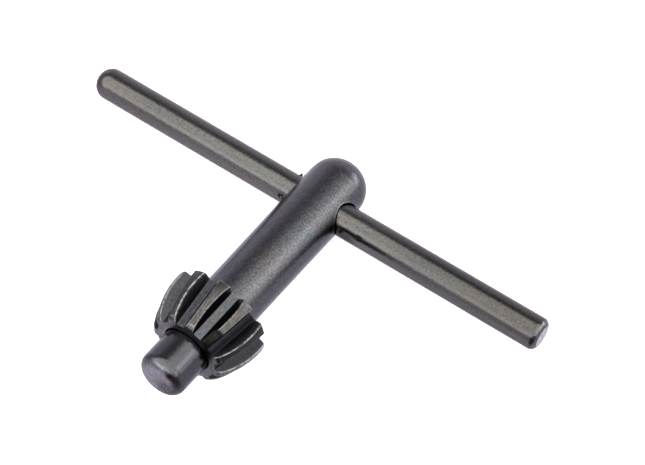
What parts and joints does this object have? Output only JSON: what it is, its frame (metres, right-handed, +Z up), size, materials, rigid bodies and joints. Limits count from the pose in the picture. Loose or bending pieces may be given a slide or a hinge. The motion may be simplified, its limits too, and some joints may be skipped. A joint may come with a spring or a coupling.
{
  "type": "drill chuck key",
  "caption": "T-handled key for a geared drill chuck: bevel pinion and pilot nose on a domed shank, with a round cross bar staked through it.",
  "frame": {"origin": "bottom centre of the bounding box, on the plane that the key lies on", "axes": "+Z up with the key lying at rest on its dome and pinion; X along the cross bar; -Y towards the pilot, which rises 6.4 degrees above -Y because the pinion is thicker than the dome"},
  "size_m": [0.087, 0.051, 0.0173],
  "materials": {
    "shank_steel": "black oxide over turned steel, lightly oiled, fine mottling",
    "pinion_steel": "black oxide over cut teeth, edges worn to bare grey steel",
    "bar_steel": "black oxide over drawn rod, lightly oiled, brownish in places"
  },
  "bodies": {
    "root": {"shank": "shank_steel", "pinion": "pinion_steel", "cross_bar": "bar_steel"}
  },
  "joints": []
}
